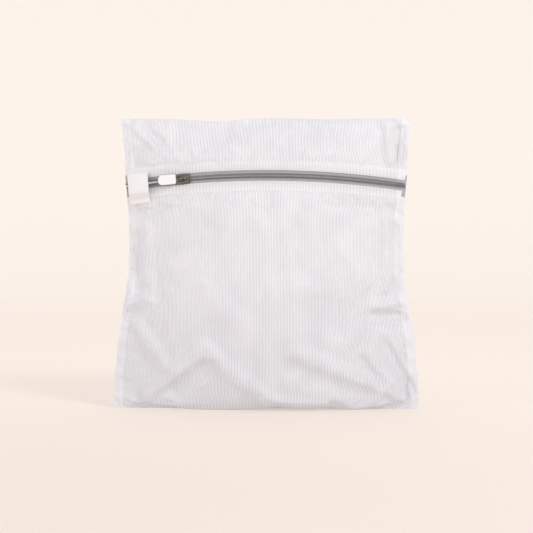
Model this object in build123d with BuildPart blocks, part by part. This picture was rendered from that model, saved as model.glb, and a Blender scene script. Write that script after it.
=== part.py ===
from build123d import *
import os
from math import asin, atan2, cos, degrees, hypot, radians, sin

# Mesh laundry bag, standing upright on its bottom fold and filled out by its load.
# Millimetres. +Z up, the zipped front faces -Y, and the origin is under the bag's middle.

os.makedirs("parts", exist_ok=True)

# ---------------------------------------------------------------- the bag's outline
# Height above the floor, half of the width between the side seams, half of the depth
OUTLINE = (
    (0.0, 152.5, 16.0),
    (7.0, 152.2, 22.5),
    (22.0, 151.2, 28.5),
    (55.0, 149.6, 34.0),
    (100.0, 142.6, 36.5),
    (150.0, 136.4, 34.5),
    (200.0, 138.0, 29.0),
    (233.0, 139.6, 24.0),
    (260.0, 141.8, 17.5),
    (278.0, 143.4, 10.0),
    (289.0, 144.5, 1.6),
)
BAG_HEIGHT = OUTLINE[-1][0]
WALL = 1.0                 # mesh cloth, with the room its weave takes up
SEAM_WIDTH = 3.5           # from the side edge to where the two walls part
FOLD_HEIGHT = 2.5          # solid height of the top fold
PANEL_GAP = 0.15           # from the middle plane to each panel

# ---------------------------------------------------------------- the zip's line
# The zip runs on a circle whose plane leans, so it falls and goes back towards both seams
ZIP_HEIGHT = 231.7         # of its middle above the floor
ZIP_FRONT = 23.6           # of its middle in front of the bag's middle plane
ZIP_END = 139.0            # half of its length, measured straight across
ZIP_DROP = 10.0            # its ends are lower than its middle by this
ZIP_RECESS = 22.0          # and further back by this
ZIP_LEAN = 6.0             # degrees that the tape's face looks upwards

TAPE_EDGE = 11.0           # from the zip's middle to a tape's sewn edge
TAPE_INNER = 0.9           # from the middle to a tape's free edge
TAPE_HALF = 0.25           # half of a tape's thickness
COIL_WIDTH = 2.0
COIL_BASE = 0.30           # height of the coil's underside above the tape's middle
COIL_TOP = 2.20
COIL_WALL = 0.55
CORD_GAP = 0.08            # between the coil and the cord inside it
HEM_EDGE = 5.3             # from the zip's middle to the hem's fold
HEM_BASE = 0.30
HEM_TOP = 0.90
ZIP_CLEAR = 11.3           # the panels stop this far from the zip's middle
ZIP_BEHIND = 12.0          # depth behind the tape that the panels leave free
ZIP_BEFORE = 14.0          # and in front of it
ZIP_BEYOND = 20.0          # and past both of its ends

# ---------------------------------------------------------------- slider and pull
SLIDER_AT = -80.0          # where it stands along the zip, straight across
SLIDER_LENGTH = 13.0
MOUTH_WIDTH = 10.0         # over the flanges at the end that closes the zip
TAIL_WIDTH = 8.6
PLATE = 1.0
PLATE_CORNER = 1.4
PLATE_EDGE = 0.45          # rounding of the upper plate's rim
SHOULDER = 0.25            # share of half the length where the flanges start to close in
WEDGE_FROM = -6.0          # the wedge that parts the coils, along the slider
WEDGE_WIDEST = -4.0
WEDGE_TO = -2.0
WEDGE_HALF = 0.55
BRIDGE_HALF = 4.3          # half of the bridge's length
BRIDGE_INNER_HALF = 3.1
BRIDGE_SHOULDER = 4.6      # heights of its outer arc's ends and top
BRIDGE_TOP = 7.1
BRIDGE_INNER_SHOULDER = 4.5
BRIDGE_INNER_TOP = 6.0
BRIDGE_SINK = 0.1          # the bridge's feet go this deep into the plate
BRIDGE_WIDTH = 1.8
UPPER_PLATE = 2.5          # height of the upper plate's inner face
LOWER_PLATE = -0.55        # height of the lower plate's inner face
FLANGE_FOOT = 0.55
CHANNEL = 3.3              # half of the width between the flanges
PIVOT = 5.0                # height of the pull's pivot
LINK_WIRE = 0.55           # radius
LINK_REACH = 10.0
LINK_HALF = 2.2
LINK_CORNER = 1.2
TAG_START = 6.8
TAG_END = 25.0
TAG_WIDTH = 9.6
TAG_THICK = 2.0
TAG_TIP = 4.0              # corner radius at its free end
TAG_ROOT = 2.0             # and at the link
TAG_ROUND = 0.6            # rounding of its rim

# ---------------------------------------------------------------- garage and threads
GARAGE_FROM = -138.5
GARAGE_TO = -118.0
GARAGE_LOW = -19.5         # foot below the zip
GARAGE_HIGH = 12.0         # foot above the zip
GARAGE_FOOT = 2.0          # height of a foot's middle above the tape
GARAGE_RISE = 9.0          # height of the tunnel roof's middle
GARAGE_CLOTH = 0.9
GARAGE_BEND = 1.2
GARAGE_LOW_FLAT = 5.0      # length of the lower foot
GARAGE_HIGH_FLAT = 3.0     # and of the upper one
ROOF_LOW = -8.0
ROOF_HIGH = 6.0
GARAGE_THREAD = 1.5        # from a foot's edge to its stitches
STITCH = 2.3               # length of one stitch
STITCH_PITCH = 3.0
THREAD = 0.4
HEM_THREAD = 1.5           # from the hem's fold to its stitches
SEAM_THREAD = 1.2          # from the allowance's outer edge to its stitches
OVERLOCK_INSET = 1.6       # from the allowance's inner edge to the overlock's middle
OVERLOCK_WIDTH = 3.2
THREAD_TOP = 266.0         # the side seam's threads end here, under the top fold
ALLOWANCE = 7.5            # width of the cloth turned in along a side seam
ALLOWANCE_THICK = 0.6
ALLOWANCE_SET = 5.5        # from the bag's side edge to the allowance

ZIP_TILT = atan2(ZIP_DROP, ZIP_RECESS)
ZIP_SAG = hypot(ZIP_DROP, ZIP_RECESS)
ZIP_RADIUS = (ZIP_END**2 + ZIP_SAG**2) / (2 * ZIP_SAG)
ZIP_OUT = Vector(0, -cos(ZIP_TILT), sin(ZIP_TILT))
ZIP_ALONG = Vector(0, sin(ZIP_TILT), cos(ZIP_TILT))
ZIP_CENTRE = Vector(0, -ZIP_FRONT, ZIP_HEIGHT) - ZIP_OUT * ZIP_RADIUS
ZIP_AXIS = Axis(ZIP_CENTRE, ZIP_ALONG)
FACE_TILT = ZIP_TILT - radians(ZIP_LEAN)


def zip_angle(across):
    """The zip circle's angle, in degrees, at a distance to the right of the bag's middle."""
    return degrees(asin(across / ZIP_RADIUS))


def section_plane(across):
    """Plane across the zip: local x runs up the tape, y out of its face."""
    angle = asin(across / ZIP_RADIUS)
    outward = ZIP_OUT * cos(angle) + Vector(1, 0, 0) * sin(angle)
    right = Vector(1, 0, 0) * cos(angle) - ZIP_OUT * sin(angle)
    up = ZIP_ALONG * cos(FACE_TILT) + outward * sin(FACE_TILT)
    return Plane(origin=ZIP_CENTRE + outward * ZIP_RADIUS, x_dir=up, z_dir=right)


def face_plane(across, height=0.0, up=0.0):
    """Plane on the zip's face: local x runs to the right, y up the tape, z out."""
    cut = section_plane(across)
    return Plane(origin=cut.origin + cut.x_dir * up + cut.y_dir * height, x_dir=cut.z_dir, z_dir=cut.y_dir)


def side_plane(across):
    """Plane along the zip: local x runs to the right, y out of the tape's face."""
    cut = section_plane(across)
    return Plane(origin=cut.origin, x_dir=cut.z_dir, z_dir=-cut.x_dir)


def sweep_angle(start, end):
    return zip_angle(end) - zip_angle(start)


def save(builder, name):
    builder.part.label = name
    export_step(builder.part, f"parts/{name}.step")


def lens(height, half_width, half_depth):
    """Outline of the bag at one height: two arcs that meet in the side seams."""
    with BuildSketch(Plane.XY.offset(height)) as outline:
        with BuildLine():
            ThreePointArc((-half_width, 0), (0, -half_depth), (half_width, 0))
            ThreePointArc((half_width, 0), (0, half_depth), (-half_width, 0))
        make_face()
    return outline.sketch


def zip_strip(low, high, base, top, start=-ZIP_END, end=ZIP_END):
    """Strip that follows the zip, given by its edges up the tape and out of it."""
    with BuildPart() as strip:
        with BuildSketch(section_plane(start)):
            with Locations(((low + high) / 2, (base + top) / 2)):
                Rectangle(high - low, top - base)
        revolve(axis=ZIP_AXIS, revolution_arc=sweep_angle(start, end))
    return strip.part


# ---------------------------------------------------------------- mesh panels
with BuildPart() as bag_cavity:
    cavity_base = lens(WALL, OUTLINE[0][1] - SEAM_WIDTH, OUTLINE[0][2])
    cavity_rings = [lens(height, width - SEAM_WIDTH, depth - WALL) for height, width, depth in OUTLINE[1:-1]]
    cavity_top = lens(BAG_HEIGHT - FOLD_HEIGHT, OUTLINE[-1][1] - SEAM_WIDTH - WALL, OUTLINE[-1][2])
    loft([cavity_base, *cavity_rings, cavity_top])

with BuildPart() as cloth:
    loft([lens(*ring) for ring in OUTLINE])
    add(bag_cavity.part, mode=Mode.SUBTRACT)

zip_band = zip_strip(
    -ZIP_CLEAR, ZIP_CLEAR, -ZIP_BEHIND, ZIP_BEFORE, -ZIP_END - ZIP_BEYOND, ZIP_END + ZIP_BEYOND
)

with BuildPart() as front_half:
    add(cloth.part)
    split(bisect_by=Plane.XZ.offset(PANEL_GAP), keep=Keep.TOP)
    add(zip_band, mode=Mode.SUBTRACT)

with BuildPart() as front_panel:
    add(front_half.solids().sort_by(Axis.Z)[0])
save(front_panel, "front_panel")

with BuildPart() as top_flap:
    add(front_half.solids().sort_by(Axis.Z)[-1])
save(top_flap, "top_flap")

with BuildPart() as back_panel:
    add(cloth.part)
    split(bisect_by=Plane.XZ.offset(-PANEL_GAP), keep=Keep.BOTTOM)
save(back_panel, "back_panel")

# ---------------------------------------------------------------- zip tapes, coils, hems
for name, side in (("upper", 1), ("lower", -1)):
    with BuildPart() as tape:
        add(zip_strip(*sorted((side * TAPE_INNER, side * TAPE_EDGE)), -TAPE_HALF, TAPE_HALF))
    save(tape, f"{name}_tape")

    coil_low, coil_high = sorted((side * TAPE_INNER, side * (TAPE_INNER + COIL_WIDTH)))
    with BuildPart() as coil:
        add(zip_strip(coil_low, coil_high, COIL_BASE, COIL_TOP))
        bore = (coil_low + COIL_WALL, coil_high - COIL_WALL, COIL_BASE + COIL_WALL, COIL_TOP - COIL_WALL)
        add(zip_strip(*bore), mode=Mode.SUBTRACT)
    save(coil, f"{name}_coil")

    inset = COIL_WALL + CORD_GAP
    with BuildPart() as coil_cord:
        add(zip_strip(coil_low + inset, coil_high - inset, COIL_BASE + inset, COIL_TOP - inset))
    save(coil_cord, f"{name}_coil_cord")

    with BuildPart() as hem:
        add(zip_strip(*sorted((side * HEM_EDGE, side * TAPE_EDGE)), HEM_BASE, HEM_TOP))
    save(hem, f"{name}_hem")

# ---------------------------------------------------------------- slider and pull
upper_face = face_plane(SLIDER_AT, UPPER_PLATE)
lower_face = face_plane(SLIDER_AT, LOWER_PLATE - PLATE)
slider_end = SLIDER_LENGTH / 2
slider_outline = [
    (-slider_end, -MOUTH_WIDTH / 2),
    (-slider_end * SHOULDER, -MOUTH_WIDTH / 2),
    (slider_end, -TAIL_WIDTH / 2),
    (slider_end, TAIL_WIDTH / 2),
    (-slider_end * SHOULDER, MOUTH_WIDTH / 2),
    (-slider_end, MOUTH_WIDTH / 2),
]

with BuildPart() as slider_body:
    with BuildSketch(upper_face):
        Polygon(*slider_outline, align=None)
        fillet(vertices(), PLATE_CORNER)
    extrude(amount=PLATE)
    fillet(faces().sort_by(Axis((0, 0, 0), upper_face.z_dir))[-1].edges(), PLATE_EDGE)
    with BuildSketch(lower_face):
        Polygon(*slider_outline, align=None)
        fillet(vertices(), PLATE_CORNER)
    extrude(amount=PLATE)
    with BuildSketch(face_plane(SLIDER_AT, FLANGE_FOOT)) as flange_shape:
        Polygon(*slider_outline, align=None)
        fillet(vertices(), PLATE_CORNER)
        Rectangle(2 * SLIDER_LENGTH, 2 * CHANNEL, mode=Mode.SUBTRACT)
    extrude(amount=UPPER_PLATE - FLANGE_FOOT)
    with BuildSketch(face_plane(SLIDER_AT, LOWER_PLATE)):
        Polygon(
            (WEDGE_FROM, 0), (WEDGE_WIDEST, -WEDGE_HALF), (WEDGE_TO, 0), (WEDGE_WIDEST, WEDGE_HALF), align=None
        )
    extrude(amount=UPPER_PLATE - LOWER_PLATE)
    with BuildSketch(side_plane(SLIDER_AT)):
        with BuildLine():
            foot = UPPER_PLATE + PLATE - BRIDGE_SINK
            Polyline((-BRIDGE_HALF, foot), (-BRIDGE_HALF, BRIDGE_SHOULDER))
            ThreePointArc((-BRIDGE_HALF, BRIDGE_SHOULDER), (0, BRIDGE_TOP), (BRIDGE_HALF, BRIDGE_SHOULDER))
            Polyline(
                (BRIDGE_HALF, BRIDGE_SHOULDER),
                (BRIDGE_HALF, foot),
                (BRIDGE_INNER_HALF, foot),
                (BRIDGE_INNER_HALF, BRIDGE_INNER_SHOULDER),
            )
            ThreePointArc(
                (BRIDGE_INNER_HALF, BRIDGE_INNER_SHOULDER),
                (0, BRIDGE_INNER_TOP),
                (-BRIDGE_INNER_HALF, BRIDGE_INNER_SHOULDER),
            )
            Polyline((-BRIDGE_INNER_HALF, BRIDGE_INNER_SHOULDER), (-BRIDGE_INNER_HALF, foot), (-BRIDGE_HALF, foot))
        make_face()
    extrude(amount=BRIDGE_WIDTH / 2, both=True)
save(slider_body, "slider_body")

pull_face = face_plane(SLIDER_AT, PIVOT)
with BuildPart() as pull_link:
    with BuildLine(pull_face) as link_path:
        FilletPolyline(
            (0, LINK_HALF),
            (-LINK_REACH, LINK_HALF),
            (-LINK_REACH, -LINK_HALF),
            (0, -LINK_HALF),
            radius=LINK_CORNER,
            close=True,
        )
    with BuildSketch(Plane(link_path.line @ 0, z_dir=link_path.line % 0)):
        Circle(LINK_WIRE)
    sweep()
save(pull_link, "pull_link")

with BuildPart() as pull_tag:
    with BuildSketch(face_plane(SLIDER_AT, PIVOT - TAG_THICK / 2)):
        with Locations((-(TAG_START + TAG_END) / 2, 0)):
            Rectangle(TAG_END - TAG_START, TAG_WIDTH)
        fillet(vertices().group_by(Axis.X)[0], TAG_TIP)
        fillet(vertices().group_by(Axis.X)[-1], TAG_ROOT)
    extrude(amount=TAG_THICK)
    fillet(edges().filter_by(lambda edge: abs((edge % 0.5).dot(pull_face.z_dir)) < 0.1), TAG_ROUND)
    add(pull_link.part, mode=Mode.SUBTRACT)
save(pull_tag, "pull_tag")

# ---------------------------------------------------------------- garage band
with BuildPart() as zip_garage:
    with BuildSketch(section_plane(GARAGE_FROM)):
        with BuildLine():
            FilletPolyline(
                (GARAGE_LOW, GARAGE_FOOT),
                (GARAGE_LOW + GARAGE_LOW_FLAT, GARAGE_FOOT),
                (ROOF_LOW, GARAGE_RISE),
                (ROOF_HIGH, GARAGE_RISE),
                (GARAGE_HIGH - GARAGE_HIGH_FLAT, GARAGE_FOOT),
                (GARAGE_HIGH, GARAGE_FOOT),
                radius=GARAGE_BEND,
            )
        trace(line_width=GARAGE_CLOTH)
    revolve(axis=ZIP_AXIS, revolution_arc=sweep_angle(GARAGE_FROM, GARAGE_TO))
save(zip_garage, "zip_garage")


# ---------------------------------------------------------------- threads on the zip
def stitch_spots(start, end, up, height):
    count = int((end - start) / STITCH_PITCH)
    return [face_plane(start + (n + 0.5) * STITCH_PITCH, height, up) for n in range(count)]


for name, side in (("upper", 1), ("lower", -1)):
    with BuildPart() as hem_stitch:
        with Locations(*stitch_spots(GARAGE_TO + 1, ZIP_END - 4, side * (HEM_EDGE + HEM_THREAD), HEM_TOP + THREAD / 2)):
            Box(STITCH, THREAD, THREAD)
    save(hem_stitch, f"{name}_hem_stitch")

with BuildPart() as garage_stitch:
    for up in (GARAGE_LOW + GARAGE_THREAD, GARAGE_HIGH - GARAGE_THREAD):
        with Locations(*stitch_spots(GARAGE_FROM + 1, GARAGE_TO, up, GARAGE_FOOT + (GARAGE_CLOTH + THREAD) / 2)):
            Box(STITCH, THREAD, THREAD)
save(garage_stitch, "garage_stitch")

# ---------------------------------------------------------------- side seams
with BuildLine() as seam_line:
    side_edge = Spline(*[(half_width, height) for height, half_width, _ in OUTLINE[1:-1]])


def seam_point(share, inset):
    """Point on the middle plane, given by its share of the seam's length and its inset."""
    spot = side_edge @ share
    return Vector(spot.X - inset, 0, spot.Y)


for name, side in (("left", -1), ("right", 1)):
    with BuildPart() as allowance:
        with BuildSketch(Plane.XZ.offset(-ALLOWANCE_THICK / 2)):
            with BuildLine():
                outer = Spline(*[(side * (w - ALLOWANCE_SET), h) for h, w, _ in OUTLINE[1:-1]])
                inner = Spline(*[(side * (w - ALLOWANCE_SET - ALLOWANCE), h) for h, w, _ in OUTLINE[1:-1]])
                Line(outer @ 0, inner @ 0)
                Line(outer @ 1, inner @ 1)
            make_face()
        extrude(amount=ALLOWANCE_THICK)
        add(zip_band, mode=Mode.SUBTRACT)
    save(allowance, f"{name}_seam_allowance")

    stitch_count = int(side_edge.length / STITCH_PITCH)
    shares = [(n + 0.5) / stitch_count for n in range(stitch_count)]
    clear_shares = [
        share
        for share in shares
        if abs(seam_point(share, 0).Z - (ZIP_HEIGHT - ZIP_DROP)) > ZIP_CLEAR + STITCH_PITCH
        and seam_point(share, 0).Z < THREAD_TOP
    ]
    with BuildPart() as seam_stitch:
        spots = [seam_point(s, ALLOWANCE_SET + SEAM_THREAD) for s in clear_shares]
        with Locations(*[(side * p.X, -(ALLOWANCE_THICK + THREAD / 2) / 2, p.Z) for p in spots]):
            Box(THREAD, THREAD / 2, STITCH)
    save(seam_stitch, f"{name}_seam_stitch")

    with BuildPart() as overlock:
        spots = [seam_point(s, ALLOWANCE_SET + ALLOWANCE - OVERLOCK_INSET) for s in clear_shares]
        with Locations(*[(side * p.X, (ALLOWANCE_THICK + THREAD) / 2, p.Z) for p in spots]):
            Box(OVERLOCK_WIDTH, THREAD, THREAD)
    save(overlock, f"{name}_overlock")
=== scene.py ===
"""Looks of a mesh laundry bag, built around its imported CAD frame.

The bag is a fine net, sewn to a curved coil zip, that stands filled out on a pale floor.
All lengths are metres in the frame's own axes: +X to the right, -Y to the front, +Z up.
"""

import logging
import math
from dataclasses import dataclass
from enum import Enum
from functools import cached_property
from typing import Sequence

import bmesh
import bpy
import numpy as np
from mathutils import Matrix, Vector


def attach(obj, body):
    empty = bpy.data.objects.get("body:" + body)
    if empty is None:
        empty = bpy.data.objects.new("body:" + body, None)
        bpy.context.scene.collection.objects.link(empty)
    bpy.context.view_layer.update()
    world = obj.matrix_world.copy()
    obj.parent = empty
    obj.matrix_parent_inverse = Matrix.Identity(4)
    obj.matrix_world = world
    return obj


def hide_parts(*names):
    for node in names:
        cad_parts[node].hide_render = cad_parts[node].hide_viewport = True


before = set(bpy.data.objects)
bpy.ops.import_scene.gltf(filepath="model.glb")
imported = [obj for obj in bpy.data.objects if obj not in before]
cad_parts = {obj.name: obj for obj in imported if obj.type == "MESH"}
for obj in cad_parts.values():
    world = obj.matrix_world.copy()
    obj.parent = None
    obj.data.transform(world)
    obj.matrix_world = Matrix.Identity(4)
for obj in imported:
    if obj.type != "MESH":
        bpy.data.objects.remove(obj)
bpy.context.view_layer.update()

LOG = logging.getLogger("mesh_bag")
MM = 0.001
Array = np.ndarray
Piece = bpy.types.Object
Material = bpy.types.Material
Colour = tuple[float, float, float]


class Body(Enum):
    """Rigid bodies of the frame that pieces ride on."""

    BAG = "bag"
    SLIDER = "slider"
    PULL = "pull"


class Side(Enum):
    """The two edges of the bag, or the two halves of the zip."""

    LOW = -1
    HIGH = 1


# ------------------------------------------------------------------ mesh tools
def smooth_step(low: float, high: float, value: Array) -> Array:
    """Rises from 0 at low to 1 at high along 3t^2 - 2t^3.

    Args:
        low: value where the step starts.
        high: value where it ends; it may be below low.
        value: what is tested.
    Returns:
        The step, 0 to 1, in value's shape.
    """
    share = np.clip((value - low) / (high - low), 0.0, 1.0)
    return share * share * (3.0 - 2.0 * share)


def curve_through(knots: Array, values: Array, where: Array) -> Array:
    """Cubic Hermite curve through given values, each slope being that of its two neighbours.

    Args:
        knots: rising places of the given values.
        values: one value or row for each knot.
        where: places to read the curve at, held inside the knots.
    Returns:
        The curve's values, with where's shape before the values' own.
    """
    slopes = np.gradient(values, knots, axis=0)
    where = np.clip(where, knots[0], knots[-1])
    left = np.clip(np.searchsorted(knots, where, side="right") - 1, 0, len(knots) - 2)
    gap = knots[left + 1] - knots[left]
    share = (where - knots[left]) / gap
    more = (1,) * (values.ndim - 1)
    gap, share = gap.reshape(gap.shape + more), share.reshape(share.shape + more)
    square, cube = share**2, share**3
    return (
        (2 * cube - 3 * square + 1) * values[left]
        + (cube - 2 * square + share) * gap * slopes[left]
        + (3 * square - 2 * cube) * values[left + 1]
        + (cube - square) * gap * slopes[left + 1]
    )


def surfaces(name: str, points: Array, wrap: bool = False, weave: Array | None = None) -> Piece:
    """One mesh of one or more grids of points, with a face between every four neighbours.

    Args:
        name: the object's name.
        points: grids x rows x columns x 3; a face looks along columns x rows.
        wrap: True to join each row's last column to its first.
        weave: grids x rows x columns x 2 or 3, kept as an attribute: cloth coordinates in
            millimetres, and then how far the cloth is doubled, 0 to 1.
    Returns:
        The new object, linked to the scene and smooth shaded.
    """
    grids, rows, columns = points.shape[:3]
    index = np.arange(grids * rows * columns).reshape(grids, rows, columns)
    here = index if wrap else index[:, :, :-1]
    beside = np.roll(index, -1, axis=2) if wrap else index[:, :, 1:]
    faces = np.stack([here[:, :-1], beside[:, :-1], beside[:, 1:], here[:, 1:]], axis=-1)
    mesh = bpy.data.meshes.new(name)
    mesh.from_pydata(points.reshape(-1, 3).tolist(), [], faces.reshape(-1, 4).tolist())
    if weave is not None:
        flat = np.zeros((points.size // 3, 3))
        flat[:, : weave.shape[-1]] = weave.reshape(-1, weave.shape[-1])
        mesh.attributes.new("weave", "FLOAT_VECTOR", "POINT").data.foreach_set("vector", flat.ravel())
    mesh.shade_smooth()
    mesh.validate()
    piece = bpy.data.objects.new(name, mesh)
    bpy.context.scene.collection.objects.link(piece)
    return piece


def surface(name: str, points: Array, wrap: bool = False, weave: Array | None = None) -> Piece:
    """One grid of points as a mesh; see surfaces."""
    return surfaces(name, points[None], wrap, None if weave is None else weave[None])


def tubes(centres: Array, right: Array, out: Array, radii: Array, around: int) -> Array:
    """Round tubes: centre + radius (cos a x right + sin a x out), for angles a round each ring.

    Args:
        centres: tubes x rings x 3.
        right: first direction across each ring, as centres.
        out: second direction across each ring, as centres.
        radii: radius of each ring, rings or tubes x rings.
        around: points round a ring.
    Returns:
        Points, tubes x rings x around x 3, for surfaces with wrap.
    """
    angle = np.linspace(0, 2 * np.pi, around, endpoint=False)[:, None]
    radii = np.broadcast_to(radii, centres.shape[:2])[..., None, None]
    ring = np.cos(angle) * right[..., None, :] + np.sin(angle) * out[..., None, :]
    return centres[..., None, :] + radii * ring


def unit(vectors: Array) -> Array:
    """Vectors divided by their own lengths."""
    return vectors / np.linalg.norm(vectors, axis=-1, keepdims=True)


def walked(points: Array, axis: int) -> Array:
    """Distance walked along a grid of points: the running sum of the gaps between neighbours.

    Args:
        points: rows x columns x 3.
        axis: 0 to walk along the columns, 1 along the rows.
    Returns:
        Millimetres from the first point, rows x columns.
    """
    steps = np.linalg.norm(np.diff(points, axis=axis), axis=-1)
    start = np.zeros_like(np.take(steps, [0], axis=axis))
    return np.concatenate([start, np.cumsum(steps, axis=axis)], axis=axis) / MM


def rows_at(points: Array, places: Array, wanted: Array) -> Array:
    """Rows of a grid at wanted places: a straight mix of the two rows on either side.

    Args:
        points: rows x anything.
        places: the rising place of each row.
        wanted: places to read at, held inside the first and the last.
    Returns:
        One row for each wanted place.
    """
    at = np.interp(wanted, places, np.arange(len(places)))
    before = np.minimum(at.astype(int), len(places) - 2)
    share = (at - before).reshape((-1,) + (1,) * (points.ndim - 1))
    return points[before] * (1 - share) + points[before + 1] * share


def close_up(piece: Piece) -> Piece:
    """Joins points that lie on each other and turns all faces outwards.

    Args:
        piece: the piece to close.
    Returns:
        The same piece.
    """
    work = bmesh.new()
    work.from_mesh(piece.data)
    bmesh.ops.remove_doubles(work, verts=work.verts, dist=1e-6)
    bmesh.ops.recalc_face_normals(work, faces=work.faces)
    work.to_mesh(piece.data)
    work.free()
    return piece


def fit(piece: Piece, body: Body, material: Material, node: str) -> Piece:
    """Dresses a new piece, sets it on its body and lets it stand for its CAD node.

    Args:
        piece: the new piece.
        body: the body that it rides on.
        material: its finish.
        node: the CAD node that it stands for.
    Returns:
        The same piece.
    """
    piece.data.materials.clear()
    piece.data.materials.append(material)
    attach(piece, body.value)
    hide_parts(node)
    LOG.info("%s: %d faces on %s", piece.name, len(piece.data.polygons), body.value)
    return piece


def dress(node: str, material: Material) -> None:
    """Gives a CAD node that stays its finish.

    Args:
        node: the node's name.
        material: its finish.
    """
    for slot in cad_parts[node].material_slots:
        slot.material = material
    LOG.info("%s: kept from the frame", node)


# ------------------------------------------------------------------ shader tools
class Signal:
    """An output socket with operators, so that shader maths is written as an expression."""

    def __init__(self, desk: "Desk", socket: bpy.types.NodeSocket) -> None:
        """Wraps one socket of a desk's material."""
        self.desk = desk
        self.socket = socket

    def maths(self, operation: str, *others: "Signal | float") -> "Signal":
        """Result of a Math node whose first input is this signal.

        Args:
            operation: the node's operation.
            others: its further inputs.
        Returns:
            The node's output.
        """
        inputs = {place: value for place, value in enumerate((self, *others))}
        return self.desk.node("ShaderNodeMath", {"operation": operation}, inputs)

    def reflected(self, operation: str, first: float) -> "Signal":
        """Result of a Math node whose second input is this signal."""
        return self.desk.node("ShaderNodeMath", {"operation": operation}, {0: first, 1: self})

    def __add__(self, other: "Signal | float") -> "Signal":
        """Sum."""
        return self.maths("ADD", other)

    __radd__ = __add__

    def __mul__(self, other: "Signal | float") -> "Signal":
        """Product."""
        return self.maths("MULTIPLY", other)

    __rmul__ = __mul__

    def __sub__(self, other: "Signal | float") -> "Signal":
        """Difference."""
        return self.maths("SUBTRACT", other)

    def __rsub__(self, other: float) -> "Signal":
        """Difference from a number."""
        return self.reflected("SUBTRACT", other)

    def cos(self) -> "Signal":
        """Cosine."""
        return self.maths("COSINE")

    def absolute(self) -> "Signal":
        """Value without its sign."""
        return self.maths("ABSOLUTE")

    def step(self, low: float, high: float) -> "Signal":
        """Smooth step from 0 at low to 1 at high."""
        settings = {"interpolation_type": "SMOOTHSTEP"}
        return self.desk.node("ShaderNodeMapRange", settings, {0: self, 1: low, 2: high, 3: 0.0, 4: 1.0})


class Desk:
    """A new material and the means to wire it."""

    def __init__(self, name: str) -> None:
        """Makes an empty node material."""
        self.material = bpy.data.materials.new(name)
        self.material.use_nodes = True
        self.material.node_tree.nodes.clear()

    def node(
        self, kind: str, settings: dict | None = None, inputs: dict | None = None, output: int | str = 0
    ) -> Signal:
        """Adds a node.

        Args:
            kind: the node's type.
            settings: its own properties, set before its sockets.
            inputs: values or signals by the socket's name or number.
            output: the socket that is handed back.
        Returns:
            The chosen output.
        """
        made = self.material.node_tree.nodes.new(kind)
        for key, value in (settings or {}).items():
            setattr(made, key, value)
        for place, value in (inputs or {}).items():
            if isinstance(value, Signal):
                self.material.node_tree.links.new(value.socket, made.inputs[place])
            else:
                made.inputs[place].default_value = value
        return Signal(self, made.outputs[output]) if made.outputs else Signal(self, None)

    def place(self) -> Signal:
        """Object coordinates, in metres."""
        return self.node("ShaderNodeTexCoord", output="Object")

    def cloth_place(self) -> list[Signal]:
        """Millimetres across and up the piece's own cloth, and how far it is doubled."""
        weave = self.node("ShaderNodeAttribute", {"attribute_name": "weave"}, output="Vector")
        return [self.node("ShaderNodeSeparateXYZ", inputs={0: weave}, output=part) for part in range(3)]

    def noise(
        self, scale: float, detail: float = 3.0, roughness: float = 0.55, at: Signal | None = None
    ) -> Signal:
        """Noise, about 0.5 in the middle.

        Args:
            scale: repeats to a metre.
            detail: octaves.
            roughness: share that each octave keeps.
            at: coordinates, or None for the object's own.
        Returns:
            The noise's value.
        """
        inputs = {"Vector": at or self.place(), "Scale": scale, "Detail": detail, "Roughness": roughness}
        return self.node("ShaderNodeTexNoise", {"noise_dimensions": "3D"}, inputs, "Fac")

    def tint(self, share: Signal, low: Colour | Signal, high: Colour) -> Signal:
        """Colour between two colours: low x (1 - share) + high x share.

        Args:
            share: the second colour's share, held from 0 to 1.
            low: colour, or a signal of one, at 0.
            high: colour at 1.
        Returns:
            The mixed colour.
        """
        settings = {"data_type": "RGBA", "clamp_factor": True}
        start = low if isinstance(low, Signal) else (*low, 1.0)
        return self.node("ShaderNodeMix", settings, {0: share, 6: start, 7: (*high, 1.0)}, 2)

    def bump(self, height: Signal, distance: float, strength: float = 1.0) -> Signal:
        """Normal that a height from 0 to 1 gives.

        Args:
            height: the relief.
            distance: depth in metres of a height of 1.
            strength: share of the effect.
        Returns:
            The bent normal.
        """
        inputs = {"Height": height, "Distance": distance, "Strength": strength}
        return self.node("ShaderNodeBump", inputs=inputs)

    def finish(self, **sockets: "Signal | float | Sequence[float]") -> Material:
        """Ends the material in a Principled shader.

        Args:
            sockets: its inputs, named with _ for a space.
        Returns:
            The material.
        """
        inputs = {name.replace("_", " "): value for name, value in sockets.items()}
        shader = self.node("ShaderNodeBsdfPrincipled", inputs=inputs)
        self.node("ShaderNodeOutputMaterial", inputs={"Surface": shader})
        return self.material


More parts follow.
